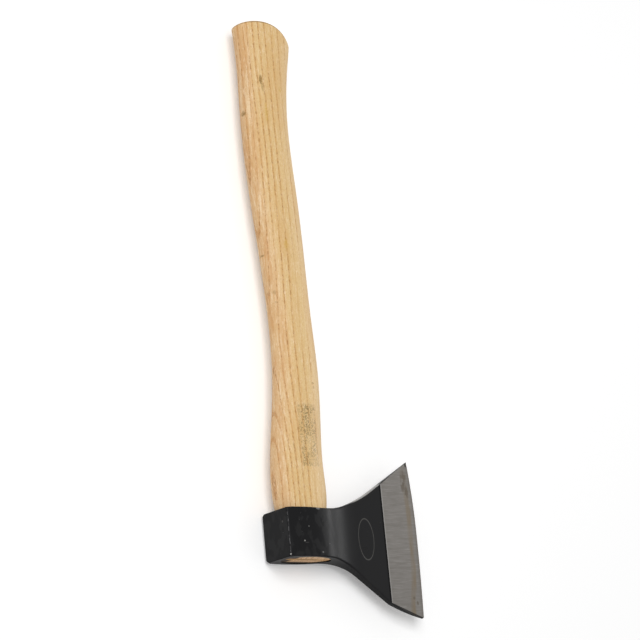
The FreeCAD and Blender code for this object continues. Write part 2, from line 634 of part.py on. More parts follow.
def draw_taper(sketch, depth, mouth, root):
    """A tapered slot or wedge in the y-z plane that starts at the end grain.

    Each argument is a pair of a value and an expression."""
    low = size("tenon_recess") - size("block_height") / 2
    high = low + depth[0]
    corners = [(low, -mouth[0] / 2), (high, -root[0] / 2), (high, root[0] / 2), (low, mouth[0] / 2)]
    sides = [line(sketch, corners[number], corners[(number + 1) % 4]) for number in range(4)]
    for number in range(4):
        join(sketch, "Coincident", sides[number], 2, sides[(number + 1) % 4], 1)
    sketch.addConstraint(Sketcher.Constraint("Symmetric", sides[1], 1, sides[1], 2, -1))
    sketch.addConstraint(Sketcher.Constraint("Symmetric", sides[3], 1, sides[3], 2, -1))
    place_point(sketch, sides[0], 1, x=(low, TENON_END))
    bind(sketch, "DistanceX", (sides[0], 1, sides[0], 2), depth[0], depth[1])
    bind(sketch, "DistanceY", (sides[1], 1, sides[1], 2), root[0], root[1])
    bind(sketch, "DistanceY", (sides[3], 2, sides[3], 1), mouth[0], mouth[1])


def make_handle():
    body = make_body("handle")
    shoulder = make_sketch(body, "shoulder", "XZ_Plane", BLOCK_TOP)
    draw_oval(shoulder, *eye_pairs("shoulder_clearance", "shoulder_overhang"))
    sections = []
    for number, (height, *shares) in enumerate(SECTION_SHARES, start=1):
        place = f"({BLOCK_TOP} + {height} * {cell('handle_reach')})"
        section = make_sketch(body, f"section_{number}", "XZ_Plane", place)
        draw_oval(section, *section_pairs(shares))
        sections.append(section)
    grip = body.newObject("PartDesign::AdditiveLoft", "grip")
    grip.Profile = shoulder
    grip.Sections = sections
    DOC.recompute()

    tenon_sketch = make_sketch(body, "tenon_outline", "XZ_Plane", BLOCK_TOP)
    draw_oval(tenon_sketch, *eye_pairs("tenon_clearance"))
    tenon = body.newObject("PartDesign::Pad", "tenon")
    tenon.Profile = tenon_sketch
    tenon.setExpression("Length", f"{cell('block_height')} - {cell('tenon_recess')}")
    DOC.recompute()

    butt_sketch = make_sketch(body, "butt_outline", "XY_Plane")
    draw_butt_cut(butt_sketch)
    butt = body.newObject("PartDesign::Pocket", "butt")
    butt.Profile = butt_sketch
    through_all(butt)
    DOC.recompute()

    kerf_sketch = make_sketch(body, "kerf_outline", "YZ_Plane")
    draw_taper(kerf_sketch, named("kerf_depth"), named("kerf_mouth"), named("kerf_root"))
    kerf = body.newObject("PartDesign::Pocket", "kerf")
    kerf.Profile = kerf_sketch
    through_all(kerf)
    DOC.recompute()

    rim_floor = size("block_height") / 2 + size("handle_reach") - size("handle_depth")

    def on_rim(edge):
        # the seams of the grip run along the handle, the rim's edges run across it
        box = edge.BoundBox
        return box.YMin > rim_floor and box.YLength < box.XLength + box.ZLength

    rounding = body.newObject("PartDesign::Fillet", "butt_rim")
    rounding.Base = (kerf, edges_where(kerf.Shape, on_rim))
    rounding.setExpression("Radius", cell("butt_rounding"))
    DOC.recompute()
    return body


# Wedges: a wooden one along the kerf, a thin steel one driven into it
def make_taper_body(label, depth, mouth, root, length):
    body = make_body(label)
    sketch = make_sketch(body, f"{label}_outline", "YZ_Plane")
    sketch.setExpression("AttachmentOffset.Base.z", EYE_MIDDLE)
    draw_taper(sketch, depth, mouth, root)
    pad = body.newObject("PartDesign::Pad", f"{label}_solid")
    pad.Profile = sketch
    pad.Midplane = True
    pad.setExpression("Length", length)
    DOC.recompute()
    return body


def make_wood_wedge():
    slope = (size("kerf_mouth") - size("kerf_root")) / size("kerf_depth")
    slope_text = f"(({cell('kerf_mouth')} - {cell('kerf_root')}) / {cell('kerf_depth')})"
    mouth = size("kerf_mouth") - 2 * size("wedge_clearance")
    mouth_text = f"({cell('kerf_mouth')} - 2 * {cell('wedge_clearance')})"
    root = mouth - slope * size("wedge_depth")
    root_text = f"({mouth_text} - {slope_text} * {cell('wedge_depth')})"
    length = f"{cell('eye_length')} - 2 * {cell('wedge_end_gap')}"
    body = make_taper_body(
        "wood_wedge", named("wedge_depth"), (mouth, mouth_text), (root, root_text), length)

    slot_sketch = make_sketch(body, "slot_outline", "YZ_Plane")
    slot_sketch.setExpression("AttachmentOffset.Base.z", EYE_MIDDLE)
    draw_taper(slot_sketch, *steel_taper("wedge_clearance"))
    slot = body.newObject("PartDesign::Pocket", "slot")
    slot.Profile = slot_sketch
    slot.Midplane = True
    slot.setExpression("Length", f"{cell('steel_wedge_length')} + 2 * {cell('wedge_clearance')}")
    DOC.recompute()
    return body


def steel_taper(clearance=None):
    """Depth, mouth and root of the steel wedge, or of its slot with a clearance all round."""
    gap = size(clearance) if clearance else 0
    gap_text = f" + {cell(clearance)}" if clearance else ""
    wide_text = f" + 2 * {cell(clearance)}" if clearance else ""
    return (
        (size("steel_wedge_depth") + gap, f"({cell('steel_wedge_depth')}{gap_text})"),
        (size("steel_wedge_mouth") + 2 * gap, f"({cell('steel_wedge_mouth')}{wide_text})"),
        (size("steel_wedge_root") + 2 * gap, f"({cell('steel_wedge_root')}{wide_text})"),
    )


def make_steel_wedge():
    return make_taper_body("steel_wedge", *steel_taper(), cell("steel_wedge_length"))


def check_document(bodies):
    for item in DOC.Objects:
        if "Invalid" in item.State or "Error" in item.State:
            raise RuntimeError(f"{item.Label} did not recompute: {item.State}")
    for body in bodies:
        if body.Shape.isNull() or not body.Shape.isValid() or len(body.Shape.Solids) != 1:
            raise RuntimeError(f"{body.Label} is not one valid solid")


BODIES = [make_head(), make_handle(), make_wood_wedge(), make_steel_wedge()]
DOC.recompute()
check_document(BODIES)
os.makedirs("parts", exist_ok=True)
for piece in BODIES:
    piece.Shape.exportStep(f"parts/{piece.Label}.step")
    box = piece.Shape.optimalBoundingBox(False)
    print(f"{piece.Label}: volume {piece.Shape.Volume:.0f} mm3,"
          f" x {box.XMin:.2f} to {box.XMax:.2f}, y {box.YMin:.2f} to {box.YMax:.2f},"
          f" z {box.ZMin:.2f} to {box.ZMax:.2f}")
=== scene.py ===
import math

import bmesh
import bpy
from mathutils import Matrix, Vector


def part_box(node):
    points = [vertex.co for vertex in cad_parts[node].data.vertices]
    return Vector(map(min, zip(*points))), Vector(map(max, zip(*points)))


# A hatchet lying on its side on a white studio floor: a black lacquered head with bare ground
# bevels, on an ash handle. The finishes are in millimetres and the studio is in metres. Names that
# end in FADE hold where a change starts and where it is full. Names that end in BAND hold where a
# stripe starts, where it ends, and how far it fades out past both. Names that end in SHARE say how
# much of a layer shows over what is under it. Names that end in RELIEF hold a depth and how
# strongly it shows.

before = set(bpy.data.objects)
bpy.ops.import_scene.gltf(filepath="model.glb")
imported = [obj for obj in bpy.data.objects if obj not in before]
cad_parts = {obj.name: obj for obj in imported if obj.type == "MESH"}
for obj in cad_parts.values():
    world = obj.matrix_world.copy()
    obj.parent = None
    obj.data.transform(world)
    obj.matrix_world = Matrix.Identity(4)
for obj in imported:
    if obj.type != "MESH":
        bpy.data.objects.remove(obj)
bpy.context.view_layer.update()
MM_PER_METRE = 1000

# Places on the head, from its own solid
HEAD_LOW, HEAD_HIGH = (corner * MM_PER_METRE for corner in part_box("axe_head"))
MIDDLE = (HEAD_LOW.z + HEAD_HIGH.z) / 2
POLL_FACE = HEAD_LOW.x
POLL_HALF = 18.5
POLL_ROUNDING = 2.0
POLL_TO_BEVEL = 115.6
BEVEL_LINE = POLL_FACE + POLL_TO_BEVEL

# The cutting edge: its foremost point, up the handle from the middle of the eye, and the share of
# the distance squared by which it bows back above and below that
EYE_MIDDLE = -200.0
APEX_RISE = 8.0
EDGE_APEX = EYE_MIDDLE + APEX_RISE
EDGE_BOW_UP = 1 / 965
EDGE_BOW_DOWN = 1 / 3230

# The lower and upper sides of the bit, each drawn with the outside on its right
HEEL_SIDE = ((38.6, -257.4), (75.2, -270.0))
TOE_SIDE = ((73.0, -130.0), (38.6, -150.6))

# Colours, linear
LACQUER = (0.0140, 0.0140, 0.0148)
LACQUER_WORN = (0.0255, 0.0255, 0.0260)
LACQUER_RUBBED = (0.115, 0.115, 0.12)
LACQUER_EDGE = (0.0060, 0.0060, 0.0062)
# painted reflection: the pale grey on the top face of the flare
FLARE_PAINTED_REFLECTION = (0.36, 0.36, 0.355)
CHIP = (0.50, 0.49, 0.47)
STAMPED = (0.082, 0.080, 0.075)
STEEL = (0.272, 0.256, 0.238)
STEEL_BRIGHT = (0.58, 0.56, 0.54)
STEEL_TINT = (0.258, 0.208, 0.146)
STEEL_SPENT = (0.205, 0.190, 0.170)
STEEL_STAIN = (0.155, 0.130, 0.100)
STEEL_BLACKENED = (0.055, 0.052, 0.048)
LATE_WOOD = (0.742, 0.536, 0.262)
LATE_WOOD_BACK = (0.710, 0.480, 0.256)
EARLY_WOOD = (0.63, 0.345, 0.110)
EARLY_WOOD_BACK = (0.60, 0.305, 0.118)
PALE_WOOD = (0.86, 0.67, 0.43)
PORES = (0.35, 0.155, 0.042)
END_GRAIN = (0.92, 0.62, 0.36)
END_PORES = (0.24, 0.12, 0.05)
INK = (0.165, 0.115, 0.036)
# dirt on the pin knots and dents, and painted shade on the butt's rim
GRIME_AND_RIM_SHADE = (0.30, 0.170, 0.045)
RESIN = (0.60, 0.37, 0.06)
BEECH = (0.63, 0.365, 0.155)
BEECH_RAYS = (0.47, 0.25, 0.095)
WEDGE_STEEL = (0.27, 0.20, 0.14)
WEDGE_RUST = (0.36, 0.19, 0.085)


class Finish:
    """A material in the making: short calls for the nodes that a finish is built from."""

    def __init__(self, name):
        self.material = bpy.data.materials.new(name)
        self.material.use_nodes = True
        self.nodes = self.material.node_tree.nodes
        self.shader = self.nodes["Principled BSDF"]
        coordinates = self.nodes.new("ShaderNodeTexCoord")
        self.place = self.vector("SCALE", coordinates.outputs["Object"], scale=MM_PER_METRE)
        self.x, self.y, self.z = self.split(self.place)
        self.facing_x, self.facing_y, self.facing_z = self.split(coordinates.outputs["Normal"])

    def plug(self, socket, value):
        if isinstance(value, bpy.types.NodeSocket):
            self.material.node_tree.links.new(value, socket)
        elif isinstance(value, tuple) and len(value) == 3 and socket.type == "RGBA":
            socket.default_value = (*value, 1)
        else:
            socket.default_value = value

    def split(self, vector):
        node = self.nodes.new("ShaderNodeSeparateXYZ")
        self.plug(node.inputs[0], vector)
        return node.outputs

    def join(self, *values):
        node = self.nodes.new("ShaderNodeCombineXYZ")
        for socket, value in zip(node.inputs, values):
            self.plug(socket, value)
        return node.outputs[0]

    def vector(self, operation, first, second=None, scale=None):
        node = self.nodes.new("ShaderNodeVectorMath")
        node.operation = operation
        self.plug(node.inputs[0], first)
        if second is not None:
            self.plug(node.inputs[1], second)
        if scale is not None:
            self.plug(node.inputs["Scale"], scale)
        return node.outputs["Value" if operation == "LENGTH" else "Vector"]

    def math(self, operation, *values):
        node = self.nodes.new("ShaderNodeMath")
        node.operation = operation
        for socket, value in zip(node.inputs, values):
            self.plug(socket, value)
        return node.outputs[0]

    def add(self, first, second):
        return self.math("ADD", first, second)

    def less(self, first, second):
        return self.math("SUBTRACT", first, second)

    def times(self, *values):
        product = values[0]
        for value in values[1:]:
            product = self.math("MULTIPLY", product, value)
        return product

    def most(self, *values):
        top = values[0]
        for value in values[1:]:
            top = self.math("MAXIMUM", top, value)
        return top

    def unsigned(self, value):
        return self.math("ABSOLUTE", value)

    def opposite(self, value):
        return self.math("SUBTRACT", 1.0, value)

    def rise(self, value, start, end, low=0.0, high=1.0):
        """Low before the start, high past the end, and a soft step in between."""
        node = self.nodes.new("ShaderNodeMapRange")
        node.interpolation_type = "SMOOTHSTEP"
        for socket, number in zip(node.inputs, (value, start, end, low, high)):
            self.plug(socket, number)
        return node.outputs["Result"]

    def band(self, value, low, high, blur):
        """One between two places, fading out over the blur on either side."""
        return self.times(self.rise(value, low - blur, low), self.rise(value, high + blur, high))

    def swing(self, noise, reach):
        """Noise from 0 to 1 made to go half its reach to either side of zero."""
        return self.times(self.less(noise, 0.5), reach)

    def past_line(self, start, end):
        """How far a point lies to the right of a line drawn in plan from start to end."""
        run, climb = end[0] - start[0], end[1] - start[1]
        length = math.hypot(run, climb)
        over = self.times(self.less(self.x, start[0]), climb / length)
        return self.less(over, self.times(self.less(self.y, start[1]), run / length))

    def spot(self, centre, size, blur=0.5):
        """One inside an ellipsoid of the given half sizes, fading out past it."""
        off = self.vector("SUBTRACT", self.place, centre)
        away = self.vector("LENGTH", self.vector("DIVIDE", off, size))
        return self.rise(away, 1.0 + blur, 1.0)

    def cloud(self, stretch, shift=(0.0, 0.0, 0.0), detail=2.0, rough=0.5, place=None):
        """Noise with so many waves a millimetre along each axis. It goes from 0 to 1 but mostly
        keeps between 0.3 and 0.7, so a rise near 0.5 picks out its peaks."""
        node = self.nodes.new("ShaderNodeTexNoise")
        scaled = self.vector("MULTIPLY", place or self.place, stretch)
        self.plug(node.inputs["Vector"], self.vector("ADD", scaled, shift))
        node.inputs["Scale"].default_value = 1.0
        node.inputs["Detail"].default_value = detail
        node.inputs["Roughness"].default_value = rough
        return node.outputs[0]

    def grit(self, stretch, shift):
        """How far each point is from the nearest of some scattered grains."""
        node = self.nodes.new("ShaderNodeTexVoronoi")
        scaled = self.vector("MULTIPLY", self.place, stretch)
        self.plug(node.inputs["Vector"], self.vector("ADD", scaled, shift))
        node.inputs["Scale"].default_value = 1.0
        return node.outputs["Distance"]

    def blend(self, amount, first, second):
        node = self.nodes.new("ShaderNodeMix")
        node.data_type = "RGBA"
        self.plug(node.inputs["Factor"], amount)
        self.plug(node.inputs[6], first)
        self.plug(node.inputs[7], second)
        return node.outputs[2]

    def relief(self, height, depth, strength, under=None):
        """Bumps of the given depth, laid over the relief under them."""
        node = self.nodes.new("ShaderNodeBump")
        node.inputs["Distance"].default_value = depth / MM_PER_METRE
        node.inputs["Strength"].default_value = strength
        self.plug(node.inputs["Height"], height)
        if under is not None:
            self.plug(node.inputs["Normal"], under)
        return node.outputs["Normal"]

    def done(self, **sockets):
        for name, value in sockets.items():
            self.plug(self.shader.inputs[name.replace("_", " ")], value)
        return self.material


# Lacquer along the head: scuffed on the block, glossier but softer at the neck, and paler
# towards the bit
SCUFF_FADE = (-22.0, -34.0)
SCUFF_SHARE = 0.5
NECK_BAND = (-20.0, 2.0, 8.0)
PALER_FADE = (-12.0, 14.0)
PALER_SHARE = 0.6

# The line rubbed along the poll's upright corners: how far it sways, its half width, and how far
# from the poll face and out to the sides it keeps
RUB_SWAY = 2.2
RUB_FADE = (0.50, 0.20)
RUB_FACE_FADE = (POLL_FACE + 2.2, POLL_FACE + 1.2)
RUB_SIDE_FADE = (POLL_HALF - 2.6, POLL_HALF - 1.8)

# Paint knocked off the head: centre, half sizes and how bare it is
CHIPS = [
    ((-76.2, -219.4, 38.4), (0.6, 0.7, 0.7), 1.0),
    ((-57.2, -195.7, 41.5), (0.5, 0.5, 0.5), 0.30),
    ((-62.6, -208.1, 41.3), (0.55, 0.5, 0.5), 0.70),
    ((-60.4, -209.6, 41.3), (1.6, 0.35, 0.5), 0.07),
    ((-43.7, -217.2, 40.3), (0.8, 0.6, 0.8), 0.32),
    ((-34.0, -209.3, 37.9), (0.6, 0.5, 0.6), 0.14),
    ((-45.3, -180.0, 40.4), (1.8, 0.7, 1.2), 0.40),
    ((-77.0, -190.5, 31.5), (0.8, 0.8, 0.8), 0.10),
]
CHIP_SHARE = 0.75
GRIT_SHARE = 0.5

# A blank oval stamped on the blade: its middle, its half sizes and its line's half width, on
# faces that look up
STAMP_PLACE = (16.2, -201.8)
STAMP_HALF_WIDTH = 8.6
STAMP_HALF_LENGTH = 18.0
STAMP_LINE_FADE = (0.36, 0.12)
STAMP_FACING_FADE = (0.7, 0.9)
STAMP_SHARE = 0.9

# Painted reflection along the top face of the flare, pale grey between the neck and the bevel
FLARE_FACING_FADE = (0.30, 0.70)
FLARE_NECK_FADE = (0.0, 12.0)
FLARE_BEVEL_FADE = (BEVEL_LINE + 2.0, BEVEL_LINE - 3.0)

# Across the bevel line: how far it wavers, where the steel is bare, the dark edge of the lacquer,
# and the bright start of the steel, on faces that look sideways
BEVEL_WAVER = 0.5
BARE_FADE = (-0.05, 0.15)
LACQUER_EDGE_BAND = (-1.6, 0.0, 0.4)
LACQUER_EDGE_SHARE = 0.8
BRIGHT_BAND = (0.2, 0.8, 0.3)
BRIGHT_SHARE = 0.45
BEVEL_FACING_FADE = (0.80, 0.90)

# How far the grinding marks lean up the handle, for each millimetre towards the edge
GRINDING_SLANT = 0.03
SCRATCH_SHARE = 0.36
COARSE_SCRATCH_SHARE = 0.50

# Back from the cutting edge: the spent steel, the dark line on the edge, and the band of
# tempering colour, which wanders, fades towards the toe and moves back towards the heel
SPENT_FADE = (4.5, 0.5)
SPENT_SHARE = 0.55
EDGE_LINE_FADE = (0.9, 0.35)
EDGE_LINE_SHARE = 0.75
TEMPER_BAND = (6.4, 8.4, 3.2)
TEMPER_WANDER = 3.0
TEMPER_TOE_FADE = (-140.0, -185.0)
TEMPER_HEEL_FADE = (-222.0, -266.0)
TEMPER_HEEL_SHIFT = -4.4

# Stains on the bevels: centre and half sizes, with a blackened one at the toe
STAINS = [
    ((67.5, -143.0, 22.0), (2.2, 3.2, 3.0)),
    ((66.0, -150.5, 22.5), (1.6, 4.5, 3.0)),
    ((69.5, -157.5, 22.0), (1.5, 3.6, 3.0)),
    ((67.2, -148.4, 22.0), (1.2, 1.4, 3.0)),
    ((66.0, -252.0, 22.5), (0.8, 0.8, 3.0)),
    ((69.5, -256.5, 22.0), (0.7, 1.1, 3.0)),
]
STAIN_BLUR = 1.2
STAIN_SHARE = 0.75
TOE_SPOT = ((71.8, -132.2, 21.0), (1.0, 1.7, 3.0))
TOE_SPOT_BLUR = 0.8
TOE_SPOT_SHARE = 0.85

# Lacquer left along the sides of the bit, by how far past each side's line it starts
HEEL_RIM_FADE = (-0.9, -0.4)
TOE_RIM_FADE = (-0.5, 0.0)
RIM_SHARE = 0.9

# Surface of the head: roughness and what adds to it, gloss, and reliefs
LACQUER_ROUGHNESS = 0.29
UNEVEN_ROUGHNESS = 0.08
SCUFF_ROUGHNESS = 0.15
NECK_ROUGHNESS = 0.06
STEEL_ROUGHNESS = 0.36
SCRATCH_ROUGHNESS = 0.16
LACQUER_GLOSS = 0.045
UNDERSIDE_GLOSS = 0.012
UNDERSIDE_FACING_FADE = (-0.30, -0.80)
NECK_GLOSS = 0.010
SKIN_RELIEF = (0.03, 0.4)
WEAR_RELIEF = (0.15, 0.6)
SCRATCH_RELIEF = (0.04, 0.5)


def lacquer_wear_and_flare_reflection(head, slow):
    """The lacquer's colour, its scuffs, what is worn or stamped, and the flare's painted
    reflection.
    """
    patch = head.cloud((0.16, 0.10, 0.16), shift=(7.0, 3.0, 0.0))
    scuffs = head.times(head.rise(patch, 0.50, 0.60), head.rise(head.x, *SCUFF_FADE),
                        SCUFF_SHARE)

    # half way round the rounding of each upright corner of the poll, a ragged line is rubbed
    from_middle = head.unsigned(head.less(head.z, MIDDLE))
    corner = head.add(head.less(from_middle, POLL_HALF - POLL_ROUNDING),
                      head.less(head.x, POLL_FACE + POLL_ROUNDING))
    sway = head.cloud((0.10, 0.16, 0.10), shift=(0.0, 5.0, 0.0), detail=4, rough=0.7)
    off_corner = head.unsigned(head.add(corner, head.swing(sway, RUB_SWAY)))
    ragged = head.cloud((0.7, 0.24, 0.7), shift=(0.0, 11.0, 0.0), detail=4, rough=0.7)
    rubbed = head.times(head.rise(off_corner, *RUB_FADE), head.rise(ragged, 0.46, 0.56),
                        head.rise(head.x, *RUB_FACE_FADE), head.rise(from_middle, *RUB_SIDE_FADE))

    # grit here and there, and the chips in their own places
    specks = head.rise(head.grit((0.30, 0.30, 0.30), shift=(3.0, 1.0, 5.0)), 0.06, 0.02)
    chips = head.most(head.times(specks, GRIT_SHARE, head.rise(slow, 0.50, 0.60)),
                      *(head.times(head.spot(centre, size), bareness)
                        for centre, size, bareness in CHIPS))

    # the outline of the oval, which is drawn as a circle on a shortened length
    along = head.times(head.less(head.y, STAMP_PLACE[1]), STAMP_HALF_WIDTH / STAMP_HALF_LENGTH)
    beside = head.less(head.x, STAMP_PLACE[0])
    oval = head.math("SQRT", head.add(head.times(along, along), head.times(beside, beside)))
    off_outline = head.unsigned(head.less(oval, STAMP_HALF_WIDTH))
    stamp = head.times(head.rise(off_outline, *STAMP_LINE_FADE),
                       head.rise(head.facing_z, *STAMP_FACING_FADE),
                       head.rise(ragged, 0.25, 0.45, 0.45, 1.0))

    # painted reflection: the top face of the flare, between the neck and the bevel, made pale grey
    flare = head.times(head.rise(head.facing_y, *FLARE_FACING_FADE),
                       head.rise(head.x, *FLARE_NECK_FADE), head.rise(head.x, *FLARE_BEVEL_FADE))

    lacquer = head.blend(head.rise(head.x, *PALER_FADE, 0.0, PALER_SHARE), LACQUER, LACQUER_WORN)
    lacquer = head.blend(scuffs, lacquer, LACQUER_WORN)
    lacquer = head.blend(rubbed, lacquer, LACQUER_RUBBED)
    lacquer = head.blend(head.times(chips, CHIP_SHARE), lacquer, CHIP)
    lacquer = head.blend(head.times(stamp, STAMP_SHARE), lacquer, STAMPED)
    lacquer = head.blend(flare, lacquer, FLARE_PAINTED_REFLECTION)
    return lacquer, scuffs, head.most(chips, rubbed, stamp)


def ground_steel(head):
    """The colour of the bare bevels, and the grinding marks on them."""
    above = head.less(head.y, EDGE_APEX)
    up = head.most(above, 0.0)
    down = head.most(head.times(above, -1.0), 0.0)
    bow = head.add(head.times(up, up, EDGE_BOW_UP), head.times(down, down, EDGE_BOW_DOWN))
    from_edge = head.less(head.less(HEAD_HIGH.x, bow), head.x)

    across = head.less(head.y, head.times(head.x, GRINDING_SLANT))
    marks_place = head.join(head.x, across, 0.0)
    scratches = head.cloud((0.050, 1.5, 0.0), detail=4, rough=0.65, place=marks_place)
    coarse_scratches = head.cloud((0.045, 0.42, 0.0), shift=(2.0, 0.0, 0.0), detail=3, rough=0.6,
                                  place=marks_place)
    steel = head.blend(head.rise(scratches, 0.48, 0.75, 0.0, SCRATCH_SHARE), STEEL, STEEL_BRIGHT)
    steel = head.blend(head.rise(coarse_scratches, 0.42, 0.70, 0.0, COARSE_SCRATCH_SHARE), steel,
                       STEEL_SPENT)
    steel = head.blend(head.rise(from_edge, *SPENT_FADE, 0.0, SPENT_SHARE), steel, STEEL_SPENT)

    smear = head.cloud((0.25, 0.05, 0.25), shift=(1.0, 4.0, 0.0), detail=3)
    from_temper = head.add(head.add(from_edge, head.swing(smear, TEMPER_WANDER)),
                           head.rise(head.y, *TEMPER_HEEL_FADE, 0.0, TEMPER_HEEL_SHIFT))
    temper = head.times(head.band(from_temper, *TEMPER_BAND),
                        head.rise(head.y, *TEMPER_TOE_FADE, 0.3, 1.0),
                        head.rise(smear, 0.25, 0.62, 0.35, 0.85))
    steel = head.blend(temper, steel, STEEL_TINT)

    blotches = head.cloud((0.22, 0.15, 0.22), shift=(9.0, 2.0, 0.0), detail=4, rough=0.6)
    stains = head.most(*(head.spot(centre, size, STAIN_BLUR) for centre, size in STAINS))
    stains = head.times(stains, head.rise(blotches, 0.40, 0.58), STAIN_SHARE)
    steel = head.blend(stains, steel, STEEL_STAIN)
    toe_spot = head.times(head.spot(*TOE_SPOT, TOE_SPOT_BLUR), TOE_SPOT_SHARE)
    steel = head.blend(toe_spot, steel, STEEL_BLACKENED)
    steel = head.blend(head.rise(from_edge, *EDGE_LINE_FADE, 0.0, EDGE_LINE_SHARE), steel,
                       STEEL_STAIN)
    return steel, scratches


def black_lacquer():
    """Satin black lacquer over the forged head, ground back to bare steel on both bevels."""
    head = Finish("black_lacquer")
    fine = head.cloud((2.2, 2.2, 2.2), detail=4)
    slow = head.cloud((0.07, 0.07, 0.07), detail=3)
    lacquer, scuffs, wear = lacquer_wear_and_flare_reflection(head, slow)
    steel, scratches = ground_steel(head)

    past_bevel = head.add(head.less(head.x, BEVEL_LINE), head.swing(fine, BEVEL_WAVER))
    sideways = head.rise(head.unsigned(head.facing_z), *BEVEL_FACING_FADE)
    bare = head.times(head.rise(past_bevel, *BARE_FADE), sideways)
    edge = head.times(head.band(past_bevel, *LACQUER_EDGE_BAND), sideways, LACQUER_EDGE_SHARE)
    bright = head.times(head.band(past_bevel, *BRIGHT_BAND), BRIGHT_SHARE)
    rim = head.most(head.rise(head.past_line(*HEEL_SIDE), *HEEL_RIM_FADE),
                    head.rise(head.past_line(*TOE_SIDE), *TOE_RIM_FADE))
    colour = head.blend(bare, head.blend(edge, lacquer, LACQUER_EDGE),
                        head.blend(bright, steel, STEEL_BRIGHT))
    colour = head.blend(head.times(rim, bare, RIM_SHARE), colour, LACQUER)

    neck = head.band(head.x, *NECK_BAND)
    lacquer_rough = head.add(LACQUER_ROUGHNESS, head.swing(slow, UNEVEN_ROUGHNESS))
    lacquer_rough = head.add(lacquer_rough, head.times(scuffs, SCUFF_ROUGHNESS))
    lacquer_rough = head.add(lacquer_rough, head.times(neck, NECK_ROUGHNESS))
    steel_rough = head.add(STEEL_ROUGHNESS, head.times(scratches, SCRATCH_ROUGHNESS))
    rough = head.add(head.times(lacquer_rough, head.opposite(bare)),
                     head.times(bare, steel_rough))
    gloss = head.add(head.rise(head.facing_y, *UNDERSIDE_FACING_FADE, LACQUER_GLOSS,
                               UNDERSIDE_GLOSS),
                     head.times(neck, NECK_GLOSS))
    skin = head.relief(fine, *SKIN_RELIEF)
    pressed = head.relief(head.opposite(wear), *WEAR_RELIEF, under=skin)
    ground = head.relief(head.times(scratches, bare), *SCRATCH_RELIEF, under=pressed)
    return head.done(Base_Color=colour, Metallic=head.times(bare, head.opposite(rim)),
                     Roughness=rough, Normal=ground, Specular_IOR_Level=gloss)


# Growth rings, counted inward from near the back of the handle. At RING_BACK a ring is
# 1 / (RING_COUNT * RING_WIDENING) wide, and the rings get wider with depth. Past LEAN_START the
# grain leans away from the handle's own line. Outside RING_BACK, in the arches, depth counts for
# less, so that the rings there lie further apart.
RING_BACK = -68.4
RING_COUNT = 7.1
RING_WIDENING = 0.04
LEAST_WIDENING = 0.2
LEAN_START = 45.0
GRAIN_LEAN = 0.02
OUTER_SQUEEZE = 0.55
WANDER = 2.2
RIPPLE = 1.1

# Arches that the rings make along the back: where the outermost one turns, its half width, over
# what length it closes (less than nothing where it opens up the handle), and the depth it goes
ARCHES = [
    (-100.0, 11.5, 15.0, 5.5),
    (72.0, 10.0, -45.0, 7.0),
]

# A ring's line and the early wood behind it, by distance past the start of the ring. The back cuts
# the rings at a slant that would spread the lines, so distances count for more there.
LINE_START_FADE = (0.0, 0.35)
LINE_END_FADE = (2.0, 0.9)
EARLY_WOOD_FADE = (4.0, 0.8)
EARLY_WOOD_SHARE = 0.40
BACK_SLANT = 1.3

# What makes the lines stronger or weaker: how far inward they are, and being high or low on the
# back. The low back also has fewer streaks.
BACK_FACING_FADE = (-0.35, -0.75)
INWARD_FADE = (27.0, 17.0)
INWARD_STRENGTH = (-0.10, 0.09)
HIGH_BACK_FADE = (40.0, 140.0)
HIGH_BACK_STRENGTH = 0.12
LOW_BACK_FADE = (-85.0, -115.0)
LOW_BACK_STRENGTH = 0.20
LOW_BACK_STREAKS_LOST = 0.65

# The wood's layers, in the order that they are laid on
RINGS_SHARE = 0.80
FIBRE_SHARE = 0.34
DARK_STREAK_SHARE = 0.66
PALE_STREAK_SHARE = 0.76
PALE_SHARE = 0.70
TONE_SHARE = 0.30
SPECK_SHARE = 0.50
STRAY_PORE_SHARE = 0.45
PORE_SHARE = 0.70
RESIN_SHARE = 0.6
INK_SHARE = 0.72
END_RINGS_SHARE = 0.6
END_PORE_SHARE = 0.7
EYE_GAP_SHADE_SHARE = 0.93

# Worn ink on the near side of the handle: its middle, its half sizes, how ragged its sides are,
# how far it reaches past them, and how far inside them it is full
INK_PLACE = (-43.5, -115.0)
INK_HALF = (10.5, 27.5)
INK_RAGGED = 8.0
INK_REACH = 1.0
INK_FULL = (2.5, 2.0)
INK_FACING_FADE = (0.3, 0.5)

# Pin knots and dents in the wood: centre, half sizes and how dark they are
PIN_KNOTS = [
    ((-60.2, 212.0, 34.5), (1.0, 3.0, 1.4), 0.95),
    ((-58.8, 205.0, 34.8), (0.9, 2.6, 1.4), 0.60),
    ((-73.8, 181.5, 22.0), (1.2, 1.6, 2.2), 0.90),
    ((-66.0, 48.0, 21.5), (1.2, 0.7, 1.8), 0.80),
    ((-61.2, 13.5, 27.8), (0.9, 1.4, 1.4), 0.40),
    ((-60.4, 4.5, 28.4), (1.0, 0.6, 1.4), 0.40),
    ((-33.5, -68.0, 34.3), (1.0, 0.5, 1.2), 0.70),
    ((-32.6, -71.5, 34.0), (0.5, 0.9, 1.2), 0.60),
    ((-59.8, -124.5, 34.2), (0.5, 1.3, 1.0), 0.45),
    ((-39.0, 206.0, 35.9), (1.6, 0.4, 0.9), 0.50),
]
KNOT_BLUR = 1.0

# Yellowed spots on the near side of the handle: centre and half sizes
RESIN_SPOTS = [
    ((-49.0, 57.0, 34.5), (1.2, 3.6, 3.0)),
    ((-39.5, 205.7, 34.4), (1.2, 1.8, 2.0)),
    ((-57.6, 181.0, 35.0), (1.0, 6.0, 2.0)),
]
RESIN_BLUR = 1.0

# The sawn ends, and painted shade on the butt's rounded rim, by how far a face looks along the
# handle
END_FACING_FADE = (0.55, 0.80)
BUTT_RIM_SHADE_FACING_BAND = (0.25, 0.52, 0.10)
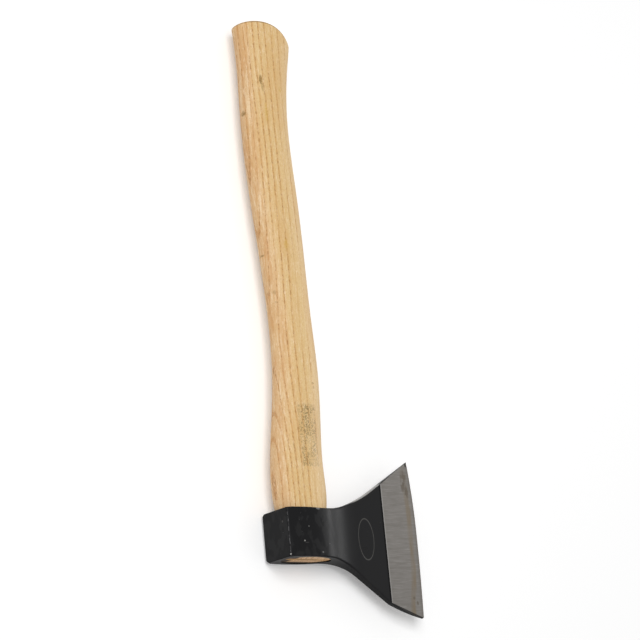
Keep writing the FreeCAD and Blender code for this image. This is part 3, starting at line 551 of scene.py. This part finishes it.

# Painted shade of the gap between the wood and the eye, laid as black lacquer over the wood's end:
# how ragged its edges are, and how far it covers the poll end and the lower side, on the end that
# looks away from the handle
EYE_GAP_SHADE_RAGGED = 7.0
EYE_GAP_SHADE_LOW_RAGGED = 4.2
EYE_GAP_SHADE_POLL_FADE = (-59.0, -62.0)
EYE_GAP_SHADE_LOW_FADE = (10.5, 8.5)
EYE_GAP_SHADE_FACING_FADE = (-0.6, -0.9)

# Surface of the wood: roughness and what the pores add to it, gloss, and reliefs
WOOD_ROUGHNESS = 0.50
PORE_ROUGHNESS = 0.2
WOOD_GLOSS = 0.30
END_GLOSS = 0.03
PORE_RELIEF = (0.10, 0.5)
FIBRE_RELIEF = (0.06, 0.4)


def growth_rings(wood, back, low_back):
    """The line at the start of each ring, how strongly it shows, and the early wood behind it."""
    wander = wood.swing(wood.cloud((0.020, 0.004, 0.030)), WANDER)
    ripple = wood.swing(wood.cloud((0.14, 0.025, 0.14), detail=3), RIPPLE)
    lean = wood.times(wood.most(wood.less(wood.y, LEAN_START), 0.0), GRAIN_LEAN)
    inward = wood.add(wood.add(wood.less(wood.x, RING_BACK), lean), wood.add(wander, ripple))
    for apex, half_width, length, depth in ARCHES:
        beside = wood.times(wood.less(wood.z, MIDDLE), 1 / half_width)
        beyond = wood.math("EXPONENT", wood.times(wood.less(wood.y, apex), 1 / length))
        inside = wood.math("SQRT", wood.add(wood.times(beside, beside), beyond))
        inward = wood.less(inward, wood.times(wood.most(wood.opposite(inside), 0.0), depth))
    inward = wood.most(inward, wood.times(inward, OUTER_SQUEEZE))

    widening = wood.most(wood.add(1.0, wood.times(inward, RING_WIDENING)), LEAST_WIDENING)
    count = wood.times(wood.math("LOGARITHM", widening, math.e), RING_COUNT)
    width = wood.times(widening, 1 / (RING_COUNT * RING_WIDENING))
    past_ring = wood.times(wood.math("FRACT", count), width,
                           wood.add(1.0, wood.times(back, BACK_SLANT)))

    uneven = wood.cloud((0.07, 0.012, 0.05), shift=(2.0, 6.0, 0.0), detail=3, rough=0.65)
    high_back = wood.times(back, wood.rise(wood.y, *HIGH_BACK_FADE))
    strength = wood.add(uneven, wood.rise(inward, *INWARD_FADE, *INWARD_STRENGTH))
    strength = wood.add(strength, wood.times(high_back, HIGH_BACK_STRENGTH))
    strength = wood.add(strength, wood.times(low_back, LOW_BACK_STRENGTH))
    line = wood.times(wood.rise(past_ring, *LINE_START_FADE),
                      wood.rise(past_ring, *LINE_END_FADE))
    behind = wood.times(wood.rise(past_ring, *EARLY_WOOD_FADE), EARLY_WOOD_SHARE)
    early = wood.times(wood.most(line, behind), wood.rise(strength, 0.32, 0.57, 0.20, 1.0))
    return line, strength, early


def worn_ink(wood, broken):
    """How much is left of the ink mark, which is worn down to specks."""
    ragged = wood.swing(broken, INK_RAGGED)
    ink = wood.rise(wood.facing_z, *INK_FACING_FADE)
    for place, middle, half, full in zip((wood.x, wood.y), INK_PLACE, INK_HALF, INK_FULL):
        off_middle = wood.add(wood.unsigned(wood.less(place, middle)), ragged)
        ink = wood.times(ink, wood.rise(off_middle, half + INK_REACH, half - full))
    specks = wood.cloud((0.85, 0.70, 0.85), shift=(0.0, 3.0, 9.0), detail=4, rough=0.75)
    faded = wood.cloud((0.12, 0.07, 0.12), shift=(1.0, 3.0, 5.0))
    return wood.times(ink, wood.rise(specks, 0.48, 0.56, 0.08, 1.0),
                      wood.rise(faded, 0.35, 0.60, 0.40, 1.0))


def end_grain(wood, early):
    """The colour of the sawn ends, dotted with open pores."""
    dots = wood.cloud((1.1, 0.4, 1.6), shift=(1.0, 0.0, 6.0), detail=4, rough=0.75)
    colour = wood.blend(wood.times(early, END_RINGS_SHARE), END_GRAIN, END_PORES)
    return wood.blend(wood.rise(dots, 0.44, 0.58, 0.0, END_PORE_SHARE), colour, END_PORES)


def painted_eye_gap_shade(wood, broken):
    """Painted shade of the gap at the poll end and lower side of the eye, over the end grain."""
    poll_end = wood.rise(wood.add(wood.x, wood.swing(broken, EYE_GAP_SHADE_RAGGED)), *EYE_GAP_SHADE_POLL_FADE)
    low_side = wood.rise(wood.add(wood.z, wood.swing(broken, EYE_GAP_SHADE_LOW_RAGGED)), *EYE_GAP_SHADE_LOW_FADE)
    return wood.times(wood.most(poll_end, low_side), wood.rise(wood.facing_y, *EYE_GAP_SHADE_FACING_FADE))


def ash_wood():
    """Ash sawn with its growth rings across the handle: quarter grain on the sides, arches on the
    back, and rows of open pores at the start of each ring."""
    wood = Finish("ash_wood")
    back = wood.rise(wood.facing_x, *BACK_FACING_FADE)
    low_back = wood.times(back, wood.rise(wood.y, *LOW_BACK_FADE))
    line, strength, early = growth_rings(wood, back, low_back)

    dashes = wood.cloud((1.15, 0.34, 1.15), detail=3, rough=0.65)
    stray = wood.cloud((1.3, 0.42, 1.3), shift=(5.0, 0.0, 3.0), detail=3, rough=0.6)
    fibre = wood.cloud((1.8, 0.060, 1.8), shift=(0.0, 8.0, 0.0), detail=4, rough=0.65)
    pale = wood.cloud((0.9, 0.13, 0.9), shift=(3.0, 2.0, 0.0), detail=4, rough=0.65)
    tone = wood.cloud((0.06, 0.012, 0.06), shift=(4.0, 0.0, 1.0), detail=3)
    speck = wood.cloud((1.0, 0.8, 1.0), shift=(7.0, 1.0, 1.0), detail=3, rough=0.7)
    streak = wood.cloud((0.42, 0.024, 0.42), shift=(6.0, 2.0, 4.0), detail=4, rough=0.6)
    broken = wood.cloud((0.9, 0.5, 0.9), detail=4, rough=0.7)
    ring_pores = wood.times(wood.rise(dashes, 0.47, 0.60), line,
                            wood.rise(strength, 0.32, 0.55, 0.25, 1.0))
    pores = wood.most(ring_pores, wood.rise(stray, 0.58, 0.70, 0.0, STRAY_PORE_SHARE))

    # rings, fibres, streaks along the back, and pores
    late_tone = wood.blend(back, LATE_WOOD, LATE_WOOD_BACK)
    early_tone = wood.blend(back, EARLY_WOOD, EARLY_WOOD_BACK)
    colour = wood.blend(wood.times(early, RINGS_SHARE), late_tone, early_tone)
    colour = wood.blend(wood.rise(fibre, 0.40, 0.70, 0.0, FIBRE_SHARE), colour, early_tone)
    streaked = wood.less(back, wood.times(low_back, LOW_BACK_STREAKS_LOST))
    dark_streaks = wood.times(streaked, wood.rise(streak, 0.48, 0.63, 0.0, DARK_STREAK_SHARE))
    pale_streaks = wood.times(streaked, wood.rise(streak, 0.46, 0.34, 0.0, PALE_STREAK_SHARE))
    colour = wood.blend(dark_streaks, colour, EARLY_WOOD_BACK)
    colour = wood.blend(pale_streaks, colour, PALE_WOOD)
    colour = wood.blend(wood.rise(pale, 0.50, 0.68, 0.0, PALE_SHARE), colour, PALE_WOOD)
    colour = wood.blend(wood.rise(tone, 0.40, 0.70, 0.0, TONE_SHARE), colour, EARLY_WOOD)
    colour = wood.blend(wood.rise(speck, 0.50, 0.68, 0.0, SPECK_SHARE), colour, EARLY_WOOD)
    colour = wood.blend(wood.times(pores, PORE_SHARE), colour, PORES)

    # resin, pin knots and ink
    for centre, size in RESIN_SPOTS:
        resin = wood.times(wood.spot(centre, size, RESIN_BLUR), wood.rise(speck, 0.35, 0.60))
        colour = wood.blend(wood.times(resin, RESIN_SHARE), colour, RESIN)
    knots = wood.most(*(wood.times(wood.spot(centre, size, KNOT_BLUR), darkness)
                        for centre, size, darkness in PIN_KNOTS))
    knots = wood.times(knots, wood.rise(broken, 0.32, 0.52))
    colour = wood.blend(knots, colour, GRIME_AND_RIM_SHADE)
    colour = wood.blend(wood.times(worn_ink(wood, broken), INK_SHARE), colour, INK)

    # end grain, painted shade on the butt's rounded rim, and painted shade of the gap in the eye
    end = wood.rise(wood.unsigned(wood.facing_y), *END_FACING_FADE)
    colour = wood.blend(end, colour, end_grain(wood, early))
    # painted shade: where the butt's end rounds over, an uneven band is darkened
    rim = wood.times(wood.band(wood.facing_y, *BUTT_RIM_SHADE_FACING_BAND),
                     wood.rise(broken, 0.30, 0.50, 0.5, 0.85))
    colour = wood.blend(rim, colour, GRIME_AND_RIM_SHADE)
    # painted shade of the gap round the wood in the eye, in the lacquer's colour
    colour = wood.blend(wood.times(painted_eye_gap_shade(wood, broken), EYE_GAP_SHADE_SHARE), colour, LACQUER)

    grain = wood.relief(wood.opposite(pores), *PORE_RELIEF)
    surface = wood.relief(fibre, *FIBRE_RELIEF, under=grain)
    rough = wood.add(WOOD_ROUGHNESS, wood.times(pores, PORE_ROUGHNESS))
    return wood.done(Base_Color=colour, Roughness=rough, Normal=surface,
                     Specular_IOR_Level=wood.rise(end, 0.0, 1.0, WOOD_GLOSS, END_GLOSS))


# Surface of both wedges
WEDGE_GLOSS = 0.05
FLECK_SHARE = 0.5
BEECH_ROUGHNESS = 0.65
BEECH_RELIEF = (0.08, 0.5)
RUST_ROUGHNESS = 0.7
RUST_RELIEF = (0.10, 0.5)
CLEAN_METALLIC = 0.6


def wedge_wood():
    """Beech wedge, seen on its end grain."""
    wedge = Finish("wedge_beech")
    rays = wedge.cloud((0.5, 0.06, 2.4), detail=3, rough=0.6)
    flecks = wedge.rise(wedge.cloud((1.6, 0.2, 1.6), shift=(2.0, 0.0, 0.0), detail=3), 0.52, 0.62)
    colour = wedge.blend(wedge.rise(rays, 0.35, 0.70), BEECH, BEECH_RAYS)
    colour = wedge.blend(wedge.times(flecks, FLECK_SHARE), colour, END_PORES)
    return wedge.done(Base_Color=colour, Roughness=BEECH_ROUGHNESS,
                      Normal=wedge.relief(rays, *BEECH_RELIEF),
                      Specular_IOR_Level=WEDGE_GLOSS)


def wedge_steel():
    """Thin steel wedge, browned with rust."""
    wedge = Finish("wedge_steel")
    rust = wedge.cloud((0.9, 0.9, 0.9), shift=(3.0, 0.0, 0.0), detail=4, rough=0.65)
    browned = wedge.rise(rust, 0.35, 0.62)
    return wedge.done(Base_Color=wedge.blend(browned, WEDGE_STEEL, WEDGE_RUST),
                      Metallic=wedge.rise(browned, 0.0, 1.0, CLEAN_METALLIC, 0.0),
                      Roughness=RUST_ROUGHNESS, Normal=wedge.relief(rust, *RUST_RELIEF),
                      Specular_IOR_Level=WEDGE_GLOSS)


# The studio: the floor's half width, its whiteness and roughness, the glow that makes it white to
# the camera and in reflections, and the level of the light from all round
FLOOR_HALF = 3.0
FLOOR_WHITE = (0.90, 0.90, 0.90)
FLOOR_ROUGHNESS = 0.9
FLOOR_GLOW = 0.17
SKY_LEVEL = 0.42
WHITE = (1, 1, 1)

# Soft boxes: place, what it looks at, width and height, power in watts, and if it casts a shadow
LAMPS = {
    "key_light": ((-1.0, 0.20, 2.1), (-0.02, -0.02, 0.02), (1.2, 1.2), 33.2, True),
    "low_light": ((1.7, 0.25, 0.40), (0.0, -0.2, 0.02), (0.8, 0.30), 7.0, False),
}

# The photo's camera: where it stands, which way its right side and its back point, and its lens
CAMERA_PLACE = (-1.0377, -0.4783, 1.33257)
CAMERA_RIGHT = (0.7992, -0.0919, 0.5940)
CAMERA_BACK = (-0.5938, -0.2733, 0.7567)
LENS_MM = 109.7
SENSOR_MM = 36
FARTHEST_SEEN = 20


def white_paper():
    """Matt white that looks white to the camera, also in a reflection."""
    paper = Finish("white_paper")
    rays = paper.nodes.new("ShaderNodeLightPath").outputs
    seen = paper.most(rays["Is Camera Ray"], rays["Is Glossy Ray"], rays["Is Transmission Ray"])
    return paper.done(Base_Color=FLOOR_WHITE, Roughness=FLOOR_ROUGHNESS, Specular_IOR_Level=0.0,
                      Emission_Color=WHITE, Emission_Strength=paper.times(seen, FLOOR_GLOW))


def studio_floor():
    """A white floor that keeps the object's shadow."""
    mesh = bpy.data.meshes.new("studio_floor")
    sheet = bmesh.new()
    bmesh.ops.create_grid(sheet, x_segments=1, y_segments=1, size=FLOOR_HALF)
    sheet.to_mesh(mesh)
    sheet.free()
    mesh.materials.append(white_paper())
    floor = bpy.data.objects.new("studio_floor", mesh)
    bpy.context.scene.collection.objects.link(floor)


def soft_box(name, place, target, size, power, casts_shadow):
    light = bpy.data.lights.new(name, "AREA")
    light.shape = "RECTANGLE"
    light.size, light.size_y = size
    light.energy = power
    light.use_shadow = casts_shadow
    holder = bpy.data.objects.new(name, light)
    bpy.context.scene.collection.objects.link(holder)
    holder.location = place
    holder.rotation_euler = (Vector(target) - Vector(place)).to_track_quat("-Z", "Y").to_euler()


def studio_light():
    """Even light from all round, with the soft boxes."""
    scene = bpy.context.scene
    scene.view_settings.view_transform = "Standard"
    scene.world = bpy.data.worlds.new("studio_light")
    scene.world.use_nodes = True
    sky = scene.world.node_tree.nodes["Background"]
    sky.inputs["Color"].default_value = (*WHITE, 1)
    sky.inputs["Strength"].default_value = SKY_LEVEL
    for name, settings in LAMPS.items():
        soft_box(name, *settings)


def photo_camera():
    """The camera where the photo was taken from."""
    right = Vector(CAMERA_RIGHT).normalized()
    back = Vector(CAMERA_BACK).normalized()
    up = back.cross(right).normalized()
    lens = bpy.data.cameras.new("photo_camera")
    lens.lens = LENS_MM
    lens.sensor_width = SENSOR_MM
    lens.clip_end = FARTHEST_SEEN
    holder = bpy.data.objects.new("photo_camera", lens)
    turn = Matrix((right, up, back)).transposed().to_4x4()
    holder.matrix_world = Matrix.Translation(CAMERA_PLACE) @ turn
    bpy.context.scene.collection.objects.link(holder)
    bpy.context.scene.camera = holder


FINISHES = {
    "axe_head": black_lacquer,
    "handle": ash_wood,
    "wood_wedge": wedge_wood,
    "steel_wedge": wedge_steel,
}
for node, finish in FINISHES.items():
    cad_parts[node].material_slots[0].material = finish()

studio_floor()
studio_light()
photo_camera()
